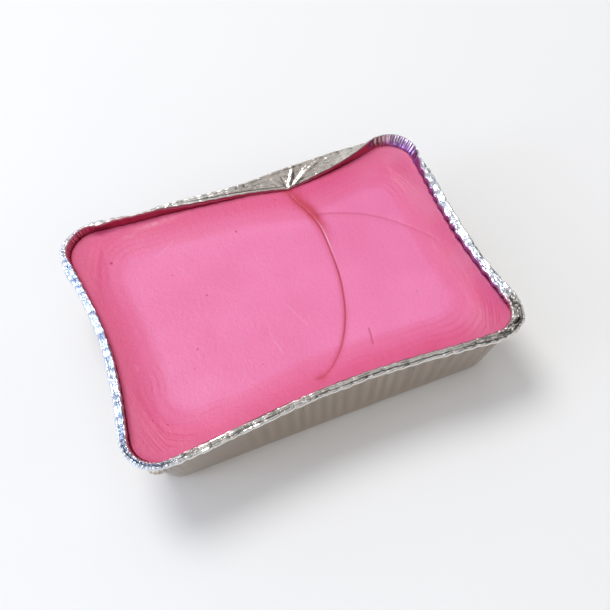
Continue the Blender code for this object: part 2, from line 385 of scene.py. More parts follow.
def foil_rings():
    """The rings of the sheet from the middle of its base to the end of its bead, with the painted shade lines
    of the flange and the painted highlight line of the ledge on each."""
    plan_out = outward(ridge_ring)
    ridge = ridge_ring + plan_out * (wall_shift(np.ones(COUNT)) + WALL_OUT + TOP_OUT)[:, None]
    ridge[:, 2] += 0.25 * loop_noise(COUNT, 60) * (1 - KINK) - 0.1
    plain_top = ridge_ring + plan_out * WALL_OUT[:, None]
    rings, shares = fillet_and_wall(foot_ring, plain_top, BASE_FILLET, WALL_SHARES)
    wall = []
    for ring, share in zip(rings, shares):
        wall.append(ring + plan_out * (wall_shift(share) + top_shift(share))[:, None])
    wall[-1] = ridge
    dent = near(foot_ring, -84, -63, 9)
    for ring, share in zip(wall, shares):
        up_wall = np.full(COUNT, share * TRAY_HEIGHT)
        crushed = crumple(around, up_wall, 5.0) * 0.16 + crumple(around, up_wall, 2.6) * 0.05
        rough = smoothstep(0.05, 0.3, share) * (1 - smoothstep(0.93, 1.0, share))
        local = 0.10 + 4.5 * dent * smoothstep(0.15, 0.4, share) + 1.2 * RIGHT_FRONT
        bulge = 3.6 * FRONT_EAR * bell(share - 0.68, 0.2)
        ring += plan_out * (np.maximum(crushed * rough * local, -0.04) + bulge)[:, None]

    # The flange's own frame: across it, and up from it
    span = flange_ring - ridge
    width = np.maximum(np.linalg.norm(span, axis=1), LEAST_FLANGE) + 1.1 * LEFT_EAR
    width += 0.35 * front * (flute - 0.5) * flute_size + 0.9 * RIGHT_FRONT * loop_noise(COUNT, 110)
    level = unit(span * [1, 1, 0])
    slope = np.arctan2(span[:, 2], np.linalg.norm(span[:, :2], axis=1)) * (1 - RIGHT_BACK) * (1 - THIN_BACK)
    droop = np.radians(
        6 + 9 * loop_noise(COUNT, 40) * (1 - KINK) + 5 * loop_noise(COUNT, 90) + 15 * front
        + 70 * np.clip(1.3 * RIGHT_BACK, 0, 1) + 10 * LEFT_BACK
        + (26 + 10 * loop_noise(COUNT, 60)) * THIN_BACK
        + 26 * RIGHT_FRONT * loop_noise(COUNT, 150) + 8 * front * loop_noise(COUNT, 120) - 20 * FLAT_TAB
    ) * (1 - 0.85 * KINK)
    droop *= 1 - 0.6 * RIGHT_FRONT
    tilt = slope - droop
    up = np.array([0, 0, 1.0])
    across = level * np.cos(tilt)[:, None] + up * np.sin(tilt)[:, None]
    normal = up * np.cos(tilt)[:, None] - level * np.sin(tilt)[:, None]

    crumpling = (
        0.07 + 0.30 * right_end + 0.20 * left_end + 0.14 * front + 0.95 * RIGHT_FRONT
        + 0.30 * LEFT_FRONT + 0.35 * near(flange_ring, -104, 48, 14) + 0.07 * KINK
    ) * (1 - 0.8 * near(flange_ring, 106, 42, 12))
    crimping = (0.20 + 0.20 * ends + 0.34 * corner * (1 - 0.3 * RIGHT_FRONT)) * (1 - 0.85 * KINK)
    crimp_rise = crimping * crimp_size * (crimp - 0.5)
    groove = front * (1 - near(flange_ring, -80, -72, 26)) * np.clip(0.95 + 0.5 * loop_noise(COUNT, 34), 0, 1)
    roll = smoothstep(-40, -22, flange_ring[:, 0]) * (1 - smoothstep(20, 27, flange_ring[:, 0])) * back
    flat_end = width - 2 * BEAD_RADIUS

    def flange_point(p, q):
        """The points of the flange at a distance across it and a height on it."""
        return ridge + across * p[:, None] + normal * q[:, None]

    def creased(p):
        """Height of crumples, crimps and the long creases of the kinked back, at a distance across."""
        fine = crumple(around, p, 5.2) * 1.0 + crumple(around + 40, p + 3, 2.4) * (0.12 + 0.2 * corner)
        fine += RIGHT_FRONT * 1.6 * crumple(around * 1.2 + 9, p * 0.8, 3.6)
        rise = crumpling * fine + crimp_rise * smoothstep(0.0, 1.4, p)
        rise += roll * (0.55 * bell(p - 0.9, 0.7) - 0.35 * bell(p - 2.2, 0.4))
        rise -= 0.55 * groove * bell(p - flat_end + 0.1, 0.3)
        creases = kink_creases(ridge + across * p[:, None])
        rise += creases * smoothstep(0.2, 1.0, p) * (1 - roll * bell(p, 2.0))
        return HIGHEST_CREASE * np.tanh(rise / HIGHEST_CREASE)

    def row_place(row):
        """Distance of a row across the flange. The first rows, beside the wall, are close together."""
        close = min(row, CLOSE_ROWS - 1)
        even = RIDGE_BEND + (flat_end - RIDGE_BEND) * close / (FLAT_ROWS - 1)
        p = np.minimum(RIDGE_BEND + CLOSE_STEP * close, even)
        return p + (flat_end - p) * (row - close) / (FLAT_ROWS - CLOSE_ROWS)

    # Painted shade: dark lines in the groove before the bead, along the fold lines of the crimps and beside
    # the roll of the back, and the shaded side of facets
    fold_line = (1 - crimp) ** 9 * crimp_size * (0.25 + 0.55 * corner + 0.55 * left_end) * (1 - KINK)
    fold_line *= np.clip(0.7 + loop_noise(COUNT, 110), 0, 1)

    def darkness(p):
        """How much painted shade the flange has at a distance across."""
        facet = crumple(around + 15, p + 5, 2.6)
        dark = 0.95 * groove * bell(p - flat_end + 0.05, 0.28) + fold_line * smoothstep(0.3, 1.2, p)
        dark += 0.75 * roll * bell(p - 2.2, 0.35) + 0.3 * roll * bell(p - 0.2, 0.4)
        return dark + np.clip((facet - 0.45) * 5, 0, 1) * np.clip(1.6 * crumpling - 0.45, 0, 0.9)

    wall_in = unit(wall[-2] - ridge)
    start = ridge + wall_in * RIDGE_BEND
    first = np.full(COUNT, RIDGE_BEND)
    finish = flange_point(first, creased(first))
    bend = []
    for share in (0.25, 0.5, 0.75):
        bend.append(start * (1 - share) ** 2 + ridge * 2 * share * (1 - share) + finish * share ** 2)
    flat, dark_flat = [], []
    for row in range(FLAT_ROWS):
        p = row_place(row)
        flat.append(flange_point(p, creased(p)))
        dark_flat.append(darkness(p))
    bead, dark_bead = [], []
    bead_rise = creased(flat_end)
    pinch = (0.32 * (1 - crimp) ** 3 * crimp_size + 0.12 * np.abs(loop_noise(COUNT, 150))) * (1 - 0.7 * KINK)
    pinch += crumpling * 0.3 * np.abs(crumple(around, width, 2.2))
    shade = np.clip(0.25 + 0.9 * loop_noise(COUNT, 75), 0, 1) * (1 - 0.5 * front) * (1 - 0.8 * KINK)
    for angle in np.radians(np.linspace(112, -165, BEAD_ROWS)):
        radius = BEAD_RADIUS - pinch * (0.4 + 0.6 * max(0.0, math.cos(angle - 0.6)))
        p = width - BEAD_RADIUS + radius * math.cos(angle)
        q = BEAD_LIFT - BEAD_RADIUS + radius * math.sin(angle) + bead_rise
        bead.append(flange_point(p, q))
        dark_bead.append(shade * smoothstep(0.35, -0.35, angle) * (0.8 - 0.5 * LEFT_FRONT) + fold_line * 0.7)
    wall[-1] = start
    base = base_rings(wall[0], 0.35)
    edge_light = [bell(share - LEDGE - 0.004, 0.016) for share in shares]
    none = np.zeros(COUNT)
    dark = [none] * (len(base) + len(wall) + len(bend)) + dark_flat + dark_bead
    light = [none] * len(base) + edge_light + [none] * (len(bend) + len(flat) + len(bead))
    return base + wall + bend + flat + bead, dark, light


def kink_creases(points):
    """Ridges and grooves that fan out from the kink over the wide part of the back flange."""
    rise = np.zeros(len(points))
    centre_y = np.interp(KINK_X, ridge_ring[back_in_order, 0], ridge_ring[back_in_order, 1])
    offset_x, offset_y = points[:, 0] - KINK_X, points[:, 1] - centre_y
    at_back = points[:, 1] > 0
    for bearing, height, half_width, reach in (  # degrees, then mm
        (58, 0.55, 1.5, 18), (40, -0.3, 1.8, 26), (27, 0.5, 1.5, 42), (14, -0.25, 1.5, 44),
        (95, -0.25, 1.4, 11), (128, 0.35, 1.6, 13), (157, -0.2, 1.5, 22), (168, 0.4, 1.2, 40),
    ):
        ahead_x, ahead_y = math.cos(math.radians(bearing)), math.sin(math.radians(bearing))
        along = offset_x * ahead_x + offset_y * ahead_y
        aside = np.abs(offset_x * ahead_y - offset_y * ahead_x)
        fade = (1 - smoothstep(reach * 0.5, reach, along)) * smoothstep(-0.5, 2, along)
        rise += height * np.clip(1 - aside / half_width, 0, 1) * fade * at_back
    return rise


# Points of the back's ridge, in order along X
back_side = np.where((ridge_ring[:, 1] > 0) & (arc_flags() == 0) & (np.abs(ridge_ring[:, 0]) < 85))[0]
back_in_order = back_side[np.argsort(ridge_ring[back_side, 0])]


def sheet_object(name, rings):
    """Rings skinned with quads, the first one closed by a face. The faces look out of the tray and down."""
    points = np.concatenate(rings) * MM
    count = len(rings[0])
    first = np.arange(count)
    after = np.roll(first, -1)
    quads = []
    for row in range(len(rings) - 1):
        below, above = row * count, (row + 1) * count
        quads += np.stack([below + first, below + after, above + after, above + first], 1).tolist()
    mesh = bpy.data.meshes.new(name)
    mesh.from_pydata(points.tolist(), [], quads + [first[::-1].tolist()])
    mesh.update()
    made = bpy.data.objects.new(name, mesh)
    bpy.context.scene.collection.objects.link(made)
    return made


def build_foil():
    """The foil sheet, with the marks that colour it and its thickness."""
    rings, dark, light = foil_rings()
    made = sheet_object("foil_tray_sheet", rings)
    height = np.concatenate(rings)[:, 2]
    wall_end = (len(rings) - FLAT_ROWS - BEAD_ROWS) * COUNT
    laps = len(rings)

    # Painted reflections on the inside wall: the shaded wax, lighter on the crests of the corner pleats, and
    # violet towards the right
    painted_reflection = 0.12 + 0.86 * smoothstep(WAX_LEVEL - 4, WAX_LEVEL - 1, height)
    painted_reflection *= 1 - 0.25 * smoothstep(WAX_LEVEL + 3.4, TRAY_HEIGHT - 0.3, height)
    crest = np.tile(corner * np.clip(flute * 1.6 - 0.75, 0, 1) * flute_size, laps)
    painted_reflection *= 1 - 0.75 * crest * smoothstep(WAX_LEVEL + 0.8, WAX_LEVEL + 2.6, height)
    painted_reflection[wall_end:] = 0
    to_the_right = smoothstep(88, 106, flange_ring[:, 0])
    violet = np.tile(np.clip(right_end + RIGHT_BACK * to_the_right, 0, 1), laps)
    violet[wall_end:] = 0

    # A painted blue reflection of the window on the left, and a painted grey reflection along the back and
    # front
    left_corners = LEFT_FRONT + 0.4 * LEFT_BACK
    tint = np.tile(left_end + left_corners + 0.35 * right_end - 1.1 * KINK - 0.25 * front, laps)
    tint[:wall_end] = 0

    # Painted light and shade of the flutes on the outside, darker towards the right along the front, and a
    # painted highlight on the edge of the ledge
    flute_light = np.sin(2 * np.pi * flute_way) * (0.4 + 0.6 * flute_size)
    tone = np.tile(flute_light * (1 - 0.9 * smooth_stretch), laps)
    tone -= np.tile(0.35 * smoothstep(20, 100, flange_ring[:, 0]) * front, laps)
    tone *= smoothstep(2, 16, height) * (1 - 0.6 * smoothstep(34, 38, height))
    ledge = np.concatenate(light) * np.tile(np.clip(0.5 + loop_noise(COUNT, 90), 0, 1), laps)
    marks = {
        "painted_reflection": painted_reflection, "violet": violet, "tone": tone, "dark": np.clip(np.concatenate(dark), 0, 1),
        "cool": np.clip(tint, 0, 1), "painted_grey": np.clip(-tint, 0, 1), "ledge": ledge,
    }
    for name, values in marks.items():
        made.data.attributes.new(name, "FLOAT", "POINT").data.foreach_set("value", values.astype(np.float32))
    made.data.shade_smooth()
    made.data.set_sharp_from_angle(angle=math.radians(38))
    thickness = made.modifiers.new("foil", "SOLIDIFY")
    thickness.thickness = FOIL * MM
    thickness.offset = 1.0
    thickness.material_offset = 1
    return made


# --- The wax block -------------------------------------------------------------------------------------

def spline(points, spacing):
    """Points close together on a smooth curve through the given ones (Catmull-Rom)."""
    points = np.array(points, float)
    padded = np.vstack([2 * points[0] - points[1], points, 2 * points[-1] - points[-2]])
    curve = []
    for index in range(1, len(padded) - 2):
        a, b, c, d = padded[index - 1:index + 3]
        steps = max(2, int(np.linalg.norm(c - b) / spacing))
        for share in np.arange(steps) / steps:
            curve.append(0.5 * (
                2 * b + (c - a) * share + (2 * a - 5 * b + 4 * c - d) * share ** 2
                + (3 * b - a - 3 * c + d) * share ** 3
            ))
    return np.vstack(curve + [points[-1]])


# The long cooling crack, its branch, and the scratches
LONG_CRACK = spline([
    (20.5, 65), (24.5, 58), (27, 50), (30.2, 42), (32, 31), (31.5, 18), (29, -3), (25, -19), (20, -32),
    (13, -44), (5, -53), (-2, -58), (-6, -58.5),
], 0.5)
BRANCH_CRACK = spline([
    (31, 40), (38, 38), (49, 34), (60, 28), (70, 19.5), (79, 9), (85, 0), (88, -11), (90, -20),
], 0.5)
SCRATCHES = [
    spline([(29, -41), (28.3, -45), (27, -50)], 0.4),
    spline([(-4, -12), (-2, -19), (1, -27)], 0.5),
    spline([(-17.5, -16), (-18.5, -27), (-16.5, -38)], 0.5),
    spline([(-86.8, -17), (-86.2, -20)], 0.4),
    spline([(-58, 45), (-51, 49), (-47, 52)], 0.5),
]
# Place and size of each pinhole
PINHOLES = [
    (-12, 45, 1.0), (-40.5, 10.5, 0.9), (-55, -19, 0.8), (-81.5, 50, 1.3), (-53.5, 30, 0.7),
    (-60, -29.5, 0.6), (-87, -49.5, 0.7), (-81, -54, 0.8), (62, -30, 0.7), (16, 57, 0.7), (23, 47, 0.6),
    (-28, -40, 0.6), (58, 4, 0.5),
]


def nearest(points, line):
    """For each point, the index of the nearest point of a line, and the gap from there to the point."""
    indices, gaps = [], []
    for start in range(0, len(points), AT_ONCE):
        gap = points[start:start + AT_ONCE, None, :] - line[None, :, :]
        index = (gap ** 2).sum(2).argmin(1)
        indices.append(index)
        gaps.append(gap[np.arange(len(index)), index])
    return np.concatenate(indices), np.concatenate(gaps)


def distance_to(points, line):
    """Distance of each point from a line of close points, its side, and how far along it is, 0 to 1."""
    index, gap = nearest(points, line)
    ahead = np.gradient(line, axis=0)[index]
    side = ahead[:, 0] * gap[:, 1] - ahead[:, 1] * gap[:, 0]
    return np.sqrt((gap ** 2).sum(1)), np.sign(side), index / (len(line) - 1)


def inside_of(points, ring, inward):
    """Whether each point lies inside a ring, whose inward directions are given."""
    index, gap = nearest(points, ring)
    return (gap * inward[index]).sum(1) > 0


def soft_noise(x, y, cell):
    """Smooth noise over the plane, from -1 to 1."""
    size = 64  # cells before the noise repeats
    heights = rng.uniform(-1, 1, (size, size))
    u, v = x / cell + 200.3, y / cell + 200.7
    low_u, low_v = np.floor(u).astype(int), np.floor(v).astype(int)
    share_u, share_v = smoothstep(0, 1, u - low_u), smoothstep(0, 1, v - low_v)

    def at(step_u, step_v):
        return heights[(low_u + step_u) % size, (low_v + step_v) % size]

    lower = at(0, 0) * (1 - share_u) + at(1, 0) * share_u
    upper = at(0, 1) * (1 - share_u) + at(1, 1) * share_u
    return lower * (1 - share_v) + upper * share_v


def wax_outline():
    """Foot and top of the line that the wax's side follows, just inside the foil, and the way out of it."""
    plan_out = outward(ridge_ring)
    foot = foot_ring - plan_out * WAX_GAP + [0, 0, WAX_GAP]
    return foot, ridge_ring + plan_out * (WALL_OUT - WAX_GAP)[:, None], plan_out


def surface_points(rim, smooth_rim, inward):
    """Points of the wax surface: the rim, rings near the wall, a grid, and close rows along the cracks.
    The smooth rim has none of the rim's flutes."""
    rows = [rim[:, :2]]
    for inset in (0.5, 1.0, 1.6, 2.3, 3.1, 4.1):
        share = 0.5 * max(0.0, 1 - inset)
        start = rim[:, :2] * share + smooth_rim * (1 - share)
        rows.append((start + inward * inset)[::2])
    # Even triangles, whose rows are 0.866 of their pitch apart
    grid_x, grid_y = np.meshgrid(np.arange(-104, 104, GRID_PITCH), np.arange(-76, 76, GRID_PITCH * 0.866))
    grid_x = grid_x + (np.arange(grid_x.shape[0]) % 2)[:, None] * GRID_PITCH / 2
    grid = np.stack([grid_x.ravel(), grid_y.ravel()], 1)
    grid = grid[inside_of(grid, smooth_rim, inward) & (distance_to(grid, smooth_rim)[0] > 4.9)]
    for line, rows_beside in ((LONG_CRACK, (0.25, 0.5, 0.8, 1.2, 1.8)), (BRANCH_CRACK, (0.35, 0.8, 1.4))):
        clear = rows_beside[-1] + 0.5
        grid = grid[distance_to(grid, line)[0] > clear]
        aside = unit(np.gradient(line, axis=0))[:, ::-1] * [-1, 1]
        rows.append(line)
        for offset in rows_beside:
            for sign in (-1, 1):
                rows.append(line + aside * offset * sign)
    for scratch in SCRATCHES:
        grid = grid[distance_to(grid, scratch)[0] > 0.7]
        aside = unit(np.gradient(scratch, axis=0))[:, ::-1] * [-1, 1]
        rows += [scratch, scratch + aside * 0.35, scratch - aside * 0.35]
    for x, y, size in PINHOLES:
        grid = grid[np.hypot(grid[:, 0] - x, grid[:, 1] - y) > size]
        turn = np.radians(np.arange(0, 360, 45))
        for radius in (0.3, 0.6, 1.0):
            rows.append(np.stack([x + size * radius * np.cos(turn), y + size * radius * np.sin(turn)], 1))
        rows.append(np.array([[x, y]]))
    rows.append(grid)
    points = np.concatenate(rows)

    # Only those inside the rim, and one of any that nearly coincide
    inside = inside_of(points, smooth_rim, inward) & (distance_to(points, smooth_rim)[0] > 0.35)
    inside[:len(rim)] = True
    points = points[inside]
    _, first = np.unique(np.round(points / 0.12).astype(int), axis=0, return_index=True)
    return points[np.union1d(first, np.arange(len(rim)))]


def build_wax():
    """The block: a cast surface, and sides and a base that follow the inside of the foil."""
    foot, top, plan_out = wax_outline()
    level_share = (WAX_LEVEL - foot[:, 2]) / (top[:, 2] - foot[:, 2])
    contact = foot + (top - foot) * level_share[:, None]
    rings, shares = fillet_and_wall(foot, contact, BASE_FILLET, WAX_SIDE_SHARES)
    side = []
    for ring, share in zip(rings, shares):
        side.append(ring + plan_out * wall_shift(share * level_share)[:, None])
    rim = side[-1]
    rim[:, 2] += 0.12 * loop_noise(COUNT, 120) + LEFT_RISE * left_end - CORNER_DIP * RIGHT_BACK

    smooth_rim = contact[:, :2]
    points = surface_points(rim, smooth_rim, -outward(contact)[:, :2])
    border = len(rim)
    edges = [(index, (index + 1) % border) for index in range(border)]
    found = delaunay_2d_cdt([Vector(p) for p in points.tolist()], edges, [], 1, 1e-6)
    flat, faces, origins = np.array([v[:] for v in found[0]]), found[2], found[3]
    place = {origin: index for index, group in enumerate(origins) for origin in group}
    height, marks = wax_surface(flat, smooth_rim)
    surface = np.column_stack([flat, height])
    order = [place[index] for index in range(border)]
    surface[order, 2] = rim[:, 2]

    # The side, ring by ring from the rim down, and the base
    lower = base_rings(side[0], 0.30) + side[:-1]
    total = len(surface)
    vertices = np.concatenate([surface] + lower[::-1]) * MM
    polygons = [list(face) for face in faces]
    previous = np.array(order)
    for row in range(len(lower)):
        ring = total + row * COUNT + np.arange(COUNT)
        quads = np.stack([ring, np.roll(ring, -1), np.roll(previous, -1), previous], 1)
        polygons += quads.tolist()
        previous = ring
    polygons.append(previous[::-1].tolist())
    mesh = bpy.data.meshes.new("wax_block_cast")
    mesh.from_pydata(vertices.tolist(), [], polygons)
    mesh.update()
    for name, values in marks.items():
        padded = np.full(len(vertices), SIDE_MARGIN if name == "margin" else 0.0, np.float32)
        padded[:total] = values
        mesh.attributes.new(name, "FLOAT", "POINT").data.foreach_set("value", padded)
    mesh.shade_smooth()
    made = bpy.data.objects.new("wax_block_cast", mesh)
    bpy.context.scene.collection.objects.link(made)
    return made


def rounded_distance(points, rim):
    """Distance from the wall, with contours that round the corners widely, as setting wax does."""
    x, y = points[:, 0], points[:, 1]
    on_side = arc_flags() == 0
    across = {}
    for name, chosen, axis in (
        ("right", on_side & (rim[:, 0] > 85), 1), ("left", on_side & (rim[:, 0] < -85), 1),
        ("back", on_side & (rim[:, 1] > 50), 0), ("front", on_side & (rim[:, 1] < -50), 0),
    ):
        side = rim[chosen]
        side = side[np.argsort(side[:, axis])]
        across[name] = np.interp(points[:, axis], side[:, axis], side[:, 1 - axis])
    end_gap = np.minimum(across["right"] - x, x - across["left"])
    side_gap = np.minimum(across["back"] - y, y - across["front"])
    rounded = RING_ROUNDING - np.hypot(
        np.maximum(RING_ROUNDING - end_gap, 0), np.maximum(RING_ROUNDING - side_gap, 0)
    )
    plain = np.minimum(end_gap, side_gap)
    return np.where((end_gap < RING_ROUNDING) & (side_gap < RING_ROUNDING), rounded, plain)


def wax_surface(points, rim):
    """Height of the cast surface at each point, and the marks that colour it."""
    x, y = points[:, 0], points[:, 1]
    wall, _, _ = distance_to(points, rim)
    warped = rounded_distance(points, rim) + 1.5 * soft_noise(x, y, 30) + 0.4 * soft_noise(x, y, 11)
    height = WAX_LEVEL - MENISCUS * (1 - np.exp(-wall / 1.2))
    height = height - HOLLOW * smoothstep(0, 24, warped) - MIDDLE_HOLLOW * smoothstep(20, 60, wall)
    height += 0.10 * soft_noise(x, y, 30) + 0.035 * soft_noise(x, y, 7)
    beside_wall = 1 - smoothstep(3, 15, wall)
    height += (LEFT_RISE * bell(x + 100, 14) - CORNER_DIP * bell(np.hypot(x - 97, y - 70), 21)) * beside_wall

    # Rings where the wax shrank as it set, strongest round the corners. The material darkens their lines as
    # painted shade and bumps them.
    corner_x, corner_y = np.abs(x) - 84, np.abs(y) - 56
    in_corner = bell(np.hypot(corner_x, corner_y), 24)
    band = smoothstep(4, 7, wall) * (1 - smoothstep(19, 27, wall))
    strength = (in_corner * 0.9 + 0.16 + 0.22 * np.clip(soft_noise(x, y, 35), 0, 1)) * band
    contour = warped + 1.5 * soft_noise(x, y, 18)
    rings = strength * np.clip(0.45 + 1.0 * soft_noise(x, y, 17), 0, 1)
    height -= 0.05 * strength * np.cos(np.pi * contour / RING_PITCH)
    step_edge = bell(warped - 20.5, 0.8) * (0.35 + 0.65 * np.clip(soft_noise(x, y, 28), 0, 1))
    height += 0.05 * step_edge

    # The cracks: a groove darkened with painted shade, a slight lip with a painted highlight, and a reddish
    # tint beside the long one
    distance, side, along = distance_to(points, LONG_CRACK)
    open_share = 0.16 + 0.84 * bell(along - 0.45, 0.28)
    groove = bell(distance, 0.36) * open_share
    lip = bell(distance - 0.6, 0.3) * open_share * (side > 0)
    height += 0.05 * lip * bell(along - 0.3, 0.22) - 0.34 * groove
    height += 0.10 * (side > 0) * bell(distance, 5.0) * bell(along - 0.12, 0.14)
    stain_and_shade = bell(distance, 1.9) * (side < 0) * (0.35 + 0.65 * bell(along - 0.5, 0.25)) * 0.55
    stain_and_shade += bell(distance - 1.2 * side, 3.4) * bell(along - 0.16, 0.14) * 1.2
    stain_and_shade += bell(distance, 1.4) * bell(along - 0.78, 0.2) * 0.45
    stain_and_shade += bell(np.hypot(x + 4.5, y + 59), 2.4) * 0.5
    crack = bell(distance, 0.45) * (0.45 + 0.45 * open_share)
    # Painted highlight along the crack's lip
    pale = lip * bell(along - 0.33, 0.08) * 0.6

    distance, side, along = distance_to(points, BRANCH_CRACK)
    fading = 1 - smoothstep(0.55, 1.0, along)
    groove = bell(distance, 0.5) * fading
    height += -0.16 * groove + 0.16 * (side > 0) * bell(distance, 7) * fading
    crack = np.maximum(crack, groove * 0.35)
    stain_and_shade += bell(distance, 2.6) * (side < 0) * fading * 0.18

    for index, scratch in enumerate(SCRATCHES):
        distance, _, _ = distance_to(points, scratch)
        line = bell(distance, 0.28)
        height -= (0.16 if index == 0 else 0.04) * line
        # The first scratch, deep, is darkened with painted shade; the others are paler
        if index == 0:
            crack = np.maximum(crack, line * 0.9)
        else:
            pale = np.maximum(pale, line * 0.16)
    for px, py, size in PINHOLES:
        distance = np.hypot(x - px, y - py)
        height -= 0.45 * size * bell(distance, size * 0.45)
        # Painted shade in each hole
        crack = np.maximum(crack, bell(distance, size * 0.5) * 0.8)

    margin = 1 - 0.45 * smoothstep(5, 17, warped) - 0.55 * smoothstep(16, 24, warped)
    # Painted shade where the wax meets the foil
    stain_and_shade += 0.45 * bell(wall, 1.0)
    # Lighter near the wall towards the right end
    lighter_right = smoothstep(50, 92, x) * (1 - smoothstep(8, 22, warped)) * (0.7 + 0.5 * soft_noise(x, y, 12))
    # Two painted glints on the slope at the back left
    glint = bell(np.hypot((x + 52) / 9, (y - 66.5) / 1.4), 1.0)
    glint += 0.5 * bell(np.hypot((x + 68) / 3, (y - 64) / 1.3), 1.0)
    pale += 0.5 * glint * (0.6 + 0.4 * soft_noise(x, y, 1.6))
    return height, {
        "margin": margin, "crack": crack, "stain_and_shade": np.clip(stain_and_shade, 0, 1), "pale": np.clip(pale, 0, 1),
        "lighter_right": np.clip(0.8 * lighter_right, 0, 1), "contour": contour, "rings": np.clip(rings, 0, 1),
    }


# --- Materials -----------------------------------------------------------------------------------------

# Foil inside and outside, each between two shades, and under painted reflections, painted shade and a painted
# highlight
BRIGHT_FOIL = (0.90, 0.89, 0.88)
SOFT_FOIL = (0.76, 0.74, 0.71)
# The outside's warm, darker colours are a painted reflection of shaded surroundings
OUTER_FOIL = (0.65, 0.565, 0.495)
OUTER_FOIL_DARK = (0.50, 0.43, 0.37)
# Painted reflections on the flange: blue of the window, and grey
PAINTED_WINDOW_BLUE = (0.71, 0.79, 0.98)
PAINTED_GREY_REFLECTION = (0.62, 0.57, 0.53)
# Painted highlight on the ledge
LEDGE_HIGHLIGHT = (1.0, 0.97, 0.93)
FOLD_SHADE = (0.09, 0.085, 0.085)
FLUTE_LIGHT = ((0.78, 0.77, 0.76), (1.0, 1.0, 1.0))
# Painted reflections on the inside wall: of the shaded wax, and violet towards the right
PAINTED_WAX_REFLECTION = (0.36, 0.07, 0.12)
PAINTED_VIOLET_REFLECTION = (0.29, 0.14, 0.42)

# Wax in the middle and at the margin, each between two shades, and in its marks
MIDDLE_WAX = ((0.82, 0.175, 0.39), (0.88, 0.225, 0.46))
MARGIN_WAX = ((0.74, 0.088, 0.235), (0.80, 0.115, 0.285))
LIGHTER_RIGHT_WAX = (0.80, 0.20, 0.355)
# Painted shade in the ring lines, cracks and pinholes; the stain colour also paints shade at the foil; the
# pale one also paints highlights
RING_SHADE_WAX = (0.62, 0.05, 0.12)
STAIN_AND_SHADE_WAX = (0.60, 0.045, 0.10)
CRACK_SHADE_WAX = (0.50, 0.025, 0.085)
PALE_AND_HIGHLIGHT_WAX = (0.95, 0.62, 0.74)

FLOOR_PAPER = ((0.90, 0.90, 0.90), (0.93, 0.93, 0.93))


def new_material(name):
    """A material, its node tree and its Principled shader."""
    made = bpy.data.materials.new(name)
    made.use_nodes = True
    tree = made.node_tree
    return made, tree, tree.nodes["Principled BSDF"]


def add_noise(tree, coordinate, scale, detail=3.0, roughness=0.55):
    """Noise over a coordinate, from 0 to 1 with most of it near the middle."""
    noise = tree.nodes.new("ShaderNodeTexNoise")
    noise.inputs["Scale"].default_value = scale
    noise.inputs["Detail"].default_value = detail
    noise.inputs["Roughness"].default_value = roughness
    tree.links.new(coordinate, noise.inputs["Vector"])
    return noise.outputs["Fac"]


def add_ramp(tree, value, low, high, to_low, to_high):
    """A value carried from one range to another, and held at its ends."""
    ramp = tree.nodes.new("ShaderNodeMapRange")
    tree.links.new(value, ramp.inputs["Value"])
    for name, number in (("From Min", low), ("From Max", high), ("To Min", to_low), ("To Max", to_high)):
        ramp.inputs[name].default_value = number
    return ramp.outputs["Result"]


def put(tree, value, socket):
    """Gives a socket its value: a number, a colour or the output of a node."""
    if isinstance(value, float):
        socket.default_value = value
    elif isinstance(value, tuple):
        socket.default_value = (*value, 1)
    else:
        tree.links.new(value, socket)


def add_mix(tree, share, first, second, blend="MIX"):
    """The first colour with a share of the second."""
    mix = tree.nodes.new("ShaderNodeMix")
    mix.data_type = "RGBA"
    mix.blend_type = blend
    put(tree, share, mix.inputs["Factor"])
    for value, socket in zip((first, second), [s for s in mix.inputs if s.type == "RGBA"]):
        put(tree, value, socket)
    return [s for s in mix.outputs if s.type == "RGBA"][0]


def add_attribute(tree, name):
    """One of the marks that a mesh carries at its points."""
    node = tree.nodes.new("ShaderNodeAttribute")
    node.attribute_name = name
    return node.outputs["Fac"]


def add_math(tree, operation, *values):
    """The result of a sum over numbers or outputs of nodes."""
    node = tree.nodes.new("ShaderNodeMath")
    node.operation = operation
    for value, socket in zip(values, node.inputs):
        put(tree, value, socket)
    return node.outputs["Value"]


def add_bump(tree, height, distance, strength, below=None):
    """A normal from a height between 0 and 1, whose full height is given in metres, over another normal."""
    bump = tree.nodes.new("ShaderNodeBump")
    bump.inputs["Distance"].default_value = distance
    bump.inputs["Strength"].default_value = strength
    tree.links.new(height, bump.inputs["Height"])
    if below is not None:
        tree.links.new(below, bump.inputs["Normal"])
    return bump.outputs["Normal"]


def foil_material(name, light_tone, dark_tone):
    """Bright foil with rolled grain and fine wrinkles: what new_material gives, and a mix for its colour."""
    made, tree, shader = new_material(name)
    place = tree.nodes.new("ShaderNodeTexCoord").outputs["Object"]
    cloud = add_noise(tree, place, 60)
    shader.inputs["Metallic"].default_value = 1.0
    tree.links.new(add_ramp(tree, cloud, 0.3, 0.7, 0.13, 0.27), shader.inputs["Roughness"])
    stretched = tree.nodes.new("ShaderNodeMapping")
    stretched.inputs["Scale"].default_value = (0.06, 1.0, 1.0)
    tree.links.new(place, stretched.inputs["Vector"])
    rolled = add_noise(tree, stretched.outputs["Vector"], 5200, 2)
    grain = add_bump(tree, rolled, 0.00004, 0.35)
    wrinkles = add_bump(tree, add_noise(tree, place, 260, 3), 0.0006, 0.11, grain)
    fine = add_bump(tree, add_noise(tree, place, 900, 4), 0.0001, 0.16, wrinkles)
    tree.links.new(fine, shader.inputs["Normal"])
    return made, tree, shader, add_mix(tree, cloud, dark_tone, light_tone)


